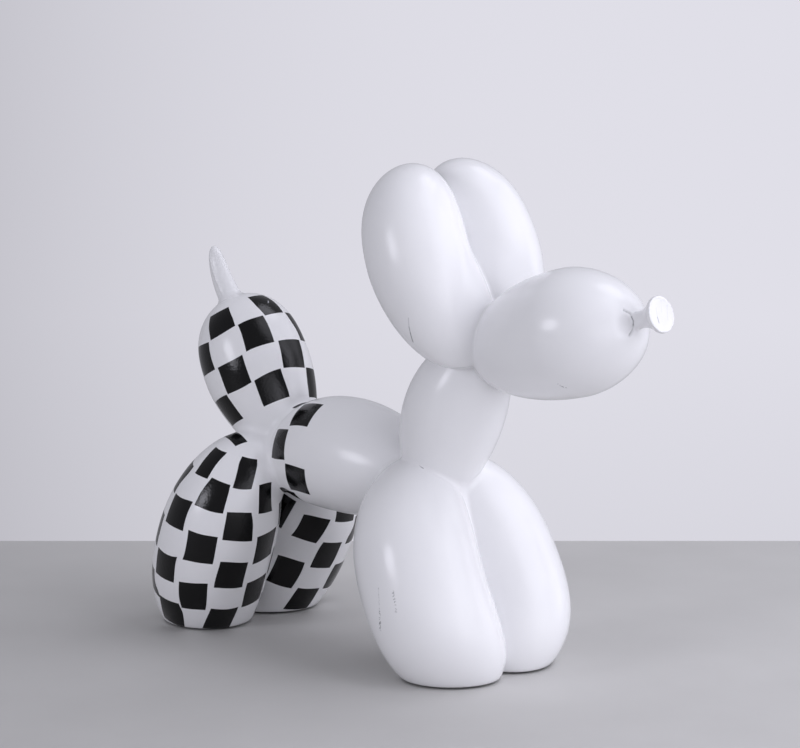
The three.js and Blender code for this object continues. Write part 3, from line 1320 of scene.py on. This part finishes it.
        # Each check has three throws of its own, from the number of its column and its middle row.
        seat = add_node(group, "ShaderNodeCombineXYZ", {2: self.black.seed})
        half_on = add_node(
            group, "ShaderNodeVectorMath", {"operation": "ADD", 1: (0.5, 0.5, 0.5)},
            {0: seat.outputs[0]},
        )
        whole = add_node(
            group, "ShaderNodeVectorMath", {"operation": "SNAP", 1: (1.0, 1.0, 1.0)},
            {0: half_on.outputs[0]},
        )
        dice = add_node(group, "ShaderNodeTexWhiteNoise", links={0: whole.outputs[0]})
        throws = add_node(group, "ShaderNodeSeparateXYZ", links={0: dice.outputs["Color"]}).outputs
        known = {
            "belly": place[0], "left": place[1], "row": place[2],
            "from_edge": form[0], "wide": form[1], "tall": form[2],
            "first": given["First Column"], "parity": given["Parity"],
            "rows": given["Rows"], "pitch": given["Pitch"],
            "throw_side": throws[0], "throw_along": throws[1], "throw_turn": throws[2],
        }
        crisp, jitter = 1 / self.black.edge_mm, self.black.jitter_mm
        sums = (
            ("belly_squared", "POWER", "belly", 2.0),
            ("left_squared", "POWER", "left", 2.0),
            ("squares", "ADD", "belly_squared", "left_squared"),
            ("radius", "SQRT", "squares"),
            ("angle", "ARCTAN2", "left", "belly"),
            ("azimuth", "DEGREES", "angle"),
            ("from_first", "SUBTRACT", "azimuth", "first"),
            ("turned", "DIVIDE", "from_first", CheckedLobe.COLUMN),
            ("column", "FLOORED_MODULO", "turned", float(CheckedLobe.COLUMNS)),
            ("number", "FLOOR", "column"),
            ("column_share", "SUBTRACT", "column", "number"),
            ("across", "SUBTRACT", "column_share", 0.5),
            ("row_number", "ADD", "row", "number"),
            ("staggered", "ADD", "row_number", "parity"),
            ("next_row", "ADD", "staggered", 1.0),
            ("in_pair", "FLOORED_MODULO", "next_row", 2.0),
            ("offset", "SUBTRACT", "in_pair", 1.0),
            ("middle", "SUBTRACT", "row", "offset"),
            ("along", "MULTIPLY", "offset", "pitch"),
            ("column_width", "MULTIPLY", "radius", math.radians(CheckedLobe.COLUMN)),
            ("side", "MULTIPLY", "across", "column_width"),
            ("turn_thrown", "SUBTRACT", "throw_turn", 0.5),
            ("turn", "MULTIPLY", "turn_thrown", 2 * self.black.turn),
            ("swing_side", "MULTIPLY", "along", "turn"),
            ("side_turned", "ADD", "side", "swing_side"),
            ("swing_along", "MULTIPLY", "side", "turn"),
            ("along_turned", "SUBTRACT", "along", "swing_along"),
            ("side_thrown", "SUBTRACT", "throw_side", 0.5),
            ("side_placed", "MULTIPLY_ADD", "side_thrown", jitter, "side_turned"),
            ("along_thrown", "SUBTRACT", "throw_along", 0.5),
            ("along_placed", "MULTIPLY_ADD", "along_thrown", jitter, "along_turned"),
            ("width", "MINIMUM", "wide", "column_width"),
            ("half_wide", "MULTIPLY", "width", 0.5),
            ("half_tall", "MULTIPLY", "tall", 0.5),
            ("side_off", "ABSOLUTE", "side_placed"),
            ("along_off", "ABSOLUTE", "along_placed"),
            ("wide_in", "SUBTRACT", "half_wide", "side_off"),
            ("tall_in", "SUBTRACT", "half_tall", "along_off"),
            ("deep_in", "MINIMUM", "wide_in", "tall_in"),
            ("on_square", "MULTIPLY_ADD", "deep_in", crisp, 0.5),
            ("above", "GREATER_THAN", "middle", -0.5),
            ("last_row", "SUBTRACT", "rows", 0.5),
            ("below", "LESS_THAN", "middle", "last_row"),
            ("on_lobe", "MULTIPLY_ADD", "from_edge", -crisp, 0.5),
            ("in_rows", "MULTIPLY", "above", "below"),
            ("on_check", "MULTIPLY", "on_square", "on_lobe"),
            ("black", "MULTIPLY", "in_rows", "on_check"),
        )
        for name, operation, *terms in sums:
            settings = {"operation": operation, "use_clamp": name in ("on_square", "on_lobe")}
            settings.update({i: term for i, term in enumerate(terms) if isinstance(term, float)})
            links = {i: known[term] for i, term in enumerate(terms) if isinstance(term, str)}
            known[name] = add_node(group, "ShaderNodeMath", settings, links).outputs[0]
        for socket, name in enumerate(("number", "middle")):
            group.links.new(known[name], seat.inputs[socket])
        add_node(group, "NodeGroupOutput", links={0: known["black"]})
        return group

    def laid_group(self) -> bpy.types.NodeTree:
        """The node group that draws one laid check.

        Returns:
            A group from a spot on the object to 1 on the check and 0 off it.
        """
        ways = ("Along", "Across", "Through")
        group, given = new_group("laid_check", ("Spot", "Middle", *ways), (), "Black")
        offset = add_node(
            group, "ShaderNodeVectorMath", {"operation": "SUBTRACT"},
            {0: given["Spot"], 1: given["Middle"]},
        ).outputs[0]
        furthest = None
        for name in ways:
            share = add_node(
                group, "ShaderNodeVectorMath", {"operation": "DOT_PRODUCT"},
                {0: offset, 1: given[name]},
            ).outputs["Value"]
            share = add_node(
                group, "ShaderNodeMath", {"operation": "ABSOLUTE"}, {0: share},
            ).outputs[0]
            furthest = share if furthest is None else add_node(
                group, "ShaderNodeMath", {"operation": "MAXIMUM"}, {0: furthest, 1: share},
            ).outputs[0]
        edge = LaidCheck.EDGE
        black = add_node(
            group, "ShaderNodeMapRange", {1: 1 - edge, 2: 1 + edge, 3: 1.0, 4: 0.0}, {0: furthest},
        ).outputs[0]
        add_node(group, "NodeGroupOutput", links={0: black})
        return group

    def mark_group(self) -> bpy.types.NodeTree:
        """The node group that says how much a scuff along a line covers each spot.

        Returns:
            A group from a spot on the object to the cover, from 0 to 1.
        """
        group, given = new_group(
            "scuff", ("Spot", "Start", "Run"), ("Width", "Strength", "Broken"), "Cover",
        )
        offset = add_node(
            group, "ShaderNodeVectorMath", {"operation": "SUBTRACT"},
            {0: given["Spot"], 1: given["Start"]},
        ).outputs[0]
        along, squared = (
            add_node(
                group, "ShaderNodeVectorMath", {"operation": "DOT_PRODUCT"},
                {0: first, 1: given["Run"]},
            ).outputs["Value"]
            for first in (offset, given["Run"])
        )
        share = add_node(
            group, "ShaderNodeMath", {"operation": "DIVIDE", "use_clamp": True},
            {0: along, 1: squared},
        ).outputs[0]
        nearest = add_node(
            group, "ShaderNodeVectorMath", {"operation": "SCALE"},
            {0: given["Run"], "Scale": share},
        ).outputs[0]
        apart = add_node(
            group, "ShaderNodeVectorMath", {"operation": "DISTANCE"}, {0: offset, 1: nearest},
        ).outputs["Value"]
        cover = add_node(
            group, "ShaderNodeMapRange",
            {"interpolation_type": "SMOOTHSTEP", 1: 0.0, 3: 1.0, 4: 0.0},
            {0: apart, 2: given["Width"]},
        ).outputs[0]
        specks = add_node(
            group, "ShaderNodeTexNoise", {"Scale": METRE / Mark.SPECK_MM, "Detail": 2.0},
            {"Vector": given["Spot"]},
        ).outputs["Fac"]
        few, many = Mark.SPECKS
        left = add_node(
            group, "ShaderNodeMapRange", {1: few, 2: many, 3: 0.0, 4: 1.0}, {0: specks},
        ).outputs[0]
        kept = add_node(
            group, "ShaderNodeMix", {2: 1.0}, {0: given["Broken"], 3: left},
        ).outputs[0]
        for factor in (kept, given["Strength"]):
            cover = add_node(
                group, "ShaderNodeMath", {"operation": "MULTIPLY"}, {0: cover, 1: factor},
            ).outputs[0]
        add_node(group, "NodeGroupOutput", links={0: cover})
        return group

    def material(self) -> bpy.types.Material:
        """Makes the lacquered skin's material.

        Returns:
            The material.
        """
        made = bpy.data.materials.new("gloss_lacquer_white_with_black_checks")
        tree = bare_tree(made)
        white, black = self.white, self.black
        spot = add_node(tree, "ShaderNodeTexCoord").outputs["Object"]
        clouds, peel, grain = (
            add_node(
                tree, "ShaderNodeTexNoise",
                {"Scale": METRE / size, "Detail": detail, "Roughness": rough}, {"Vector": spot},
            ).outputs["Fac"]
            for size, detail, rough in (
                (white.cloud_mm, 4.0, 0.5), (white.peel_mm, 1.0, 0.5), (black.grain_mm, 2.0, 0.6),
            )
        )
        black_share = self.black_share(tree, spot)
        whites, blacks = (
            add_node(
                tree, "ShaderNodeMix",
                {"data_type": "RGBA", 6: linear(first), 7: linear(second)}, {0: clouds},
            ).outputs[2]
            for first, second in ((white.shade, white.colour), (black.colour, black.shade))
        )
        colour = add_node(
            tree, "ShaderNodeMix", {"data_type": "RGBA"}, {0: black_share, 6: whites, 7: blacks},
        ).outputs[2]
        for cover, tint in self.overlays(tree, spot):
            colour = add_node(
                tree, "ShaderNodeMix", {"data_type": "RGBA", 7: linear(tint)},
                {0: cover, 6: colour},
            ).outputs[2]

        lifted = add_node(
            tree, "ShaderNodeMath", {"operation": "MULTIPLY"}, {0: grain, 1: black_share},
        ).outputs[0]
        height = add_node(
            tree, "ShaderNodeMath",
            {"operation": "MULTIPLY_ADD", 1: black.grain_height / white.peel_height},
            {0: lifted, 2: peel},
        ).outputs[0]
        bump = add_node(
            tree, "ShaderNodeBump", {"Strength": 1.0, "Distance": white.peel_height * MM},
            {"Height": height},
        ).outputs[0]
        spread = white.roughness_spread
        few, many = white.clouds
        rough = add_node(
            tree, "ShaderNodeMapRange",
            {1: few, 2: many, 3: white.roughness - spread, 4: white.roughness + spread},
            {0: clouds},
        ).outputs[0]
        rough = add_node(
            tree, "ShaderNodeMix", {3: black.roughness}, {0: black_share, 2: rough},
        ).outputs[0]
        shader = add_node(
            tree, "ShaderNodeBsdfPrincipled",
            {"IOR": white.ior, "Specular IOR Level": white.specular},
            {"Base Color": colour, "Roughness": rough, "Normal": bump},
        )
        add_node(tree, "ShaderNodeOutputMaterial", links={"Surface": shader.outputs[0]})
        return made

    def black_share(
        self, tree: bpy.types.NodeTree, spot: bpy.types.NodeSocket
    ) -> bpy.types.NodeSocket:
        """Draws every check.

        Args:
            tree: the material's node tree.
            spot: where the shaded spot is on the object.

        Returns:
            1 on a black check and 0 on white.
        """
        lobe_group, laid_group = self.check_group(), self.laid_group()
        shares = []
        for check in self.checks:
            names = {"Place": check.attribute_name(), "Form": check.form_name()}
            links = {
                socket: add_node(
                    tree, "ShaderNodeAttribute", {"attribute_name": name},
                ).outputs["Vector"]
                for socket, name in names.items()
            }
            settings = {
                "node_tree": lobe_group, "First Column": check.first_column,
                "Parity": check.parity, "Rows": len(check.rows), "Pitch": check.pitch(),
            }
            shares.append(add_node(tree, "ShaderNodeGroup", settings, links).outputs[0])
        for laid in self.laid:
            settings = {"node_tree": laid_group, **laid.measures()}
            shares.append(add_node(tree, "ShaderNodeGroup", settings, {"Spot": spot}).outputs[0])
        whole = shares[0]
        for share in shares[1:]:
            whole = add_node(
                tree, "ShaderNodeMath", {"operation": "MAXIMUM"}, {0: whole, 1: share},
            ).outputs[0]
        return whole

    def overlays(
        self, tree: bpy.types.NodeTree, spot: bpy.types.NodeSocket
    ) -> list[tuple[bpy.types.NodeSocket, str]]:
        """What lies over the lacquer: the painted shade in the fold's crease, the painted contact
        shadow round the soles, and the scuffs and lines drawn on it.

        Args:
            tree: the material's node tree.
            spot: where the shaded spot is on the object.

        Returns:
            How much each covers, and its colour.
        """
        white, scuff = self.white, self.mark_group()
        fold = add_node(tree, "ShaderNodeAttribute", {"attribute_name": FOLD_NAME}).outputs["Fac"]
        # Painted shade along the crease of the fold beside the mouth, darkest on the fold's line.
        fold_painted_shade = add_node(
            tree, "ShaderNodeMapRange",
            {
                "interpolation_type": "SMOOTHSTEP",
                1: 0.0, 2: white.fold_mm, 3: white.fold_shade_cover, 4: 0.0,
            },
            {0: fold},
        ).outputs[0]
        # Painted shade: a dark band round the bottom of each sole, for the contact shadow at the
        # floor.
        up = add_node(tree, "ShaderNodeSeparateXYZ", links={0: spot}).outputs[2]
        whole, gone = (mm * MM for mm in white.sole_shade_mm)
        sole_shade_mask = add_node(
            tree, "ShaderNodeMapRange", {1: whole, 2: gone, 3: 1.0, 4: 0.0}, {0: up},
        ).outputs[0]
        covers = [(fold_painted_shade, white.fold_painted_shade), (sole_shade_mask, white.sole_painted_shade)]
        for mark in self.marks:
            settings = {"node_tree": scuff, **mark.measures()}
            cover = add_node(tree, "ShaderNodeGroup", settings, {"Spot": spot}).outputs[0]
            covers.append((cover, mark.colour))
        return covers


@dataclass
class BalloonSkin:
    """The dog's whole skin as one closed mesh, dressed in lacquer."""

    figure: Figure = field(default_factory=Figure)
    mesher: SkinMesher = field(default_factory=SkinMesher)
    finish: CheckedSkin = field(default_factory=CheckedSkin)
    name: str = "balloon_skin"
    margin: float = 3.3

    def build(self) -> bpy.types.Object:
        """Makes the skin, rides it on the root and lets it stand for the casting.

        Returns:
            The dressed object.
        """
        low, high = (np.array(corner) * METRE + (MIDDLE_X, 0, 0) for corner in CAD_BOX)
        low, high = low - self.margin, high + self.margin
        points, normals, loop = self.mesher.mesh(
            self.figure.distance, self.figure.wants_detail, low, high
        )
        mesh = bpy.data.meshes.new(self.name)
        faces = [row if row[3] != row[2] else row[:3] for row in loop.tolist()]
        mesh.from_pydata(placed(points).tolist(), [], faces)
        mesh.update()
        mesh.shade_smooth()
        mesh.normals_split_custom_set_from_vertices(normals.tolist())
        for check in self.finish.checks:
            names = check.attribute_name(), check.form_name()
            for name, values in zip(names, check.places(self.figure, points)):
                made = mesh.attributes.new(name, "FLOAT_VECTOR", "POINT")
                made.data.foreach_set("vector", values.astype(np.float32).ravel())
        made = mesh.attributes.new(FOLD_NAME, "FLOAT", "POINT")
        made.data.foreach_set("value", self.figure.from_fold(points).astype(np.float32))
        mesh.materials.append(self.finish.material())
        skin = bpy.data.objects.new(self.name, mesh)
        bpy.context.scene.collection.objects.link(skin)
        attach(skin, "root")
        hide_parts("balloon_dog")
        triangles = sum(len(f) - 2 for f in faces)
        LOG.info("%s: %d points, %d triangles", self.name, len(points), triangles)
        return skin


@dataclass(frozen=True)
class TableTop:
    """A matt grey table top of painted board, with a faint uneven grain. Its colour is painted
    light:
    it is made paler to the right, for the lamps' light falling off across it.

    half_width, behind, ahead and thickness are its reach from between the dog's feet. The painted
    light comes in between the two places of painted_light_run, counted mostly to the right and
    partly back.
    """

    colour: str = "D2D1CF"
    shade: str = "C7C6C4"
    # Painted light and shade: the board is made darker to the left and paler to the right, for the
    # lamps' fall-off.
    painted_shade_left: str = "E6E6E6"
    painted_light_right: str = "FFFFFF"
    light_fall_right: float = 0.4
    light_fall_back: float = 0.18
    painted_light_run: tuple[float, float] = (-0.12, 0.1)
    roughness: float = 0.62
    grain_mm: float = 60.0
    half_width: float = 1.6
    behind: float = 0.225
    ahead: float = 2.6
    thickness: float = 0.025

    def material(self, right: np.ndarray, back: np.ndarray) -> bpy.types.Material:
        """Makes the painted board's material.

        Args:
            right: the level direction towards the table's right.
            back: the level direction towards its back edge.

        Returns:
            The material.
        """
        made = bpy.data.materials.new("matt_painted_board")
        tree = bare_tree(made)
        spot = add_node(tree, "ShaderNodeTexCoord").outputs["Object"]
        grain = add_node(
            tree, "ShaderNodeTexNoise", {"Scale": METRE / self.grain_mm, "Detail": 5.0},
            {"Vector": spot},
        ).outputs["Fac"]
        # Painted light: the colour is scaled paler towards the right and back, for the lamps'
        # light falling off.
        way = tuple(self.light_fall_right * right + self.light_fall_back * back)
        across = add_node(
            tree, "ShaderNodeVectorMath", {"operation": "DOT_PRODUCT", 1: way}, {0: spot},
        ).outputs["Value"]
        start, end = self.painted_light_run
        share = add_node(
            tree, "ShaderNodeMapRange", {1: start, 2: end, 3: 0.0, 4: 1.0}, {0: across},
        ).outputs[0]
        paint, painted_light_tone = (
            add_node(
                tree, "ShaderNodeMix",
                {"data_type": "RGBA", 6: linear(first), 7: linear(second)}, {0: factor},
            ).outputs[2]
            for first, second, factor in (
                (self.shade, self.colour, grain), (self.painted_shade_left, self.painted_light_right, share),
            )
        )
        colour = add_node(
            tree, "ShaderNodeMix", {"data_type": "RGBA", "blend_type": "MULTIPLY", 0: 1.0},
            {6: paint, 7: painted_light_tone},
        ).outputs[2]
        shader = add_node(
            tree, "ShaderNodeBsdfPrincipled", {"Roughness": self.roughness},
            {"Base Color": colour},
        )
        add_node(tree, "ShaderNodeOutputMaterial", links={"Surface": shader.outputs[0]})
        return made


@dataclass(frozen=True)
class SoftLamp:
    """A round softbox that faces the dog.

    azimuth is counted in degrees from the dog's right side, where its snout is at 90, and
    elevation from the floor. glow is how bright its face is. away is its distance.
    """

    name: str
    azimuth: float
    elevation: float
    glow: float
    radius: float = 0.55
    away: float = 2.2


@dataclass
class Studio:
    """The table, the pale room, the softboxes and the camera, in metres.

    The camera aims at a point aside and height from between the feet. The wall that the camera
    sees
    has painted light and shade: it goes from the darker left colour to the paler right one as
    WALL_POWER says, as the lamps' light falls across it, and has painted shade near the floor,
    below the two rises of wall_foot_shade_rise.
    """

    top: TableTop = TableTop()
    # Painted light and shade on the wall seen by the camera: darker to the left, paler to the
    # right, darker near the floor.
    wall_painted_shade_left: str = "C6C5CD"
    wall_painted_light_right: str = "E0DFE8"
    wall_foot_painted_shade: float = 0.92
    wall_foot_shade_rise: tuple[float, float] = (-0.15, -0.22)
    room_light: str = "F6F6FF"
    lamp_light: str = "F4F4FF"
    room_strength: float = 0.38
    azimuth: float = 43.717
    elevation: float = 9.723
    distance: float = 1.5086
    focal_px: float = 3127.25
    aside: float = 0.015456
    height: float = 0.133488
    lamp_centre: tuple[float, float, float] = (0.0, 0.0, 0.12)
    lamps: tuple[SoftLamp, ...] = (
        SoftLamp("key_near", 60, 5, 0.9, 0.43, 1.25),
        SoftLamp("key_middle", 80, 5, 1.1, 0.43, 1.25),
        SoftLamp("key_far", 100, 5, 1.8, 0.48, 1.25),
        SoftLamp("key_upper", 95, 32, 1.7, 0.33, 1.25),
        SoftLamp("key_top", 105, 60, 1.75),
        SoftLamp("side_upper", 125, 32, 2.05),
        SoftLamp("back_right", 150, 5, 1.1),
        SoftLamp("back_upper", 160, 32, 0.9),
        SoftLamp("overhead", 165, 60, 2.75),
        SoftLamp("small_front", -13, 17, 8.6, 0.35),
    )

    WALL_POWER = 3.0

    def right(self) -> np.ndarray:
        """The level direction towards the right of the camera's view."""
        azimuth = math.radians(self.azimuth)
        return np.array([math.cos(azimuth), math.sin(azimuth), 0.0])

    def build_camera(self) -> None:
        """Makes the camera at the photograph's angle."""
        aim = placed((0, 0, 0)) + self.right() * self.aside + (0, 0, self.height)
        data = bpy.data.cameras.new("camera")
        data.sensor_width = SENSOR_WIDTH
        data.lens = self.focal_px / IMAGE_WIDTH * SENSOR_WIDTH
        camera = bpy.data.objects.new("camera", data)
        camera.location = aim + direction(self.azimuth, self.elevation) * self.distance
        tilt, turn = math.radians(90 - self.elevation), math.radians(self.azimuth)
        camera.rotation_euler = (tilt, 0.0, turn)
        bpy.context.scene.collection.objects.link(camera)
        bpy.context.scene.camera = camera

    def build_table(self) -> None:
        """Makes the table top, whose back edge is just behind the dog."""
        top, right, back = self.top, self.right(), -direction(self.azimuth, 0)
        corners = []
        for drop in (0.0, -top.thickness):
            sides = (-1, 1, 1, -1)
            depths = (top.behind, top.behind, -top.ahead, -top.ahead)
            for side, depth in zip(sides, depths):
                corner = right * side * top.half_width + back * depth + (0, 0, drop)
                corners.append(tuple(placed((0, 0, 0)) + corner))
        faces = [(3, 2, 1, 0), (4, 5, 6, 7)]
        faces += [(i, (i + 1) % 4, (i + 1) % 4 + 4, i + 4) for i in range(4)]
        mesh = bpy.data.meshes.new("table_top")
        mesh.from_pydata(corners, [], faces)
        mesh.materials.append(top.material(right, back))
        table = bpy.data.objects.new("table_top", mesh)
        bpy.context.scene.collection.objects.link(table)

    def build_light(self) -> None:
        """Makes the pale room, which the camera sees as a blank wall with painted light and shade,
        and its softboxes.
        """
        across = tuple(self.right() * self.focal_px / IMAGE_WIDTH)
        world = bpy.data.worlds.new("pale_room")
        tree = bare_tree(world)
        ray = add_node(tree, "ShaderNodeTexCoord").outputs["Generated"]
        side = add_node(
            tree, "ShaderNodeVectorMath", {"operation": "DOT_PRODUCT", 1: across}, {0: ray},
        ).outputs["Value"]
        short = add_node(
            tree, "ShaderNodeMath", {"operation": "SUBTRACT", 0: 0.5, "use_clamp": True},
            {1: side},
        ).outputs[0]
        drop = add_node(
            tree, "ShaderNodeMath", {"operation": "POWER", 1: self.WALL_POWER}, {0: short},
        ).outputs[0]
        share = add_node(
            tree, "ShaderNodeMath", {"operation": "SUBTRACT", 0: 1.0}, {1: drop},
        ).outputs[0]
        height = add_node(tree, "ShaderNodeSeparateXYZ", links={0: ray}).outputs[2]
        upper, lower = self.wall_foot_shade_rise
        # Painted shade: the wall seen by the camera is made darker near the floor.
        foot_painted_shade = add_node(
            tree, "ShaderNodeMapRange", {1: upper, 2: lower, 3: 1.0, 4: self.wall_foot_painted_shade},
            {0: height},
        ).outputs[0]
        # Painted light and shade: the wall seen by the camera goes from darker on the left to
        # paler on the right.
        wall = add_node(
            tree, "ShaderNodeMix",
            {"data_type": "RGBA", 6: linear(self.wall_painted_shade_left), 7: linear(self.wall_painted_light_right)},
            {0: share},
        ).outputs[2]
        seen = add_node(tree, "ShaderNodeBackground", links={"Color": wall, "Strength": foot_painted_shade})
        lit = add_node(
            tree, "ShaderNodeBackground",
            {"Color": linear(self.room_light), "Strength": self.room_strength},
        )
        to_camera = add_node(tree, "ShaderNodeLightPath").outputs["Is Camera Ray"]
        both = add_node(
            tree, "ShaderNodeMixShader",
            links={0: to_camera, 1: lit.outputs[0], 2: seen.outputs[0]},
        )
        add_node(tree, "ShaderNodeOutputWorld", links={0: both.outputs[0]})
        bpy.context.scene.world = world
        for lamp in self.lamps:
            away = direction(lamp.azimuth, lamp.elevation)
            data = bpy.data.lights.new(lamp.name, "AREA")
            data.shape = "DISK"
            data.size = 2 * lamp.radius
            data.energy = lamp.glow * math.pi**2 * lamp.radius**2
            data.color = linear(self.lamp_light)[:3]
            made = bpy.data.objects.new(lamp.name, data)
            made.location = np.array(self.lamp_centre) + lamp.away * away
            made.rotation_euler = (
                math.acos(away[2]), 0.0, math.atan2(away[1], away[0]) + math.pi / 2,
            )
            made.visible_camera = False
            bpy.context.scene.collection.objects.link(made)


def main() -> None:
    """Builds the studio and the dog."""
    logging.basicConfig(level=logging.INFO, format="%(name)s: %(message)s")
    studio = Studio()
    studio.build_camera()
    studio.build_table()
    studio.build_light()
    BalloonSkin().build()
    view = bpy.context.scene.view_settings
    view.view_transform = "Standard"
    view.look = "None"


if __name__ == "__main__":
    main()
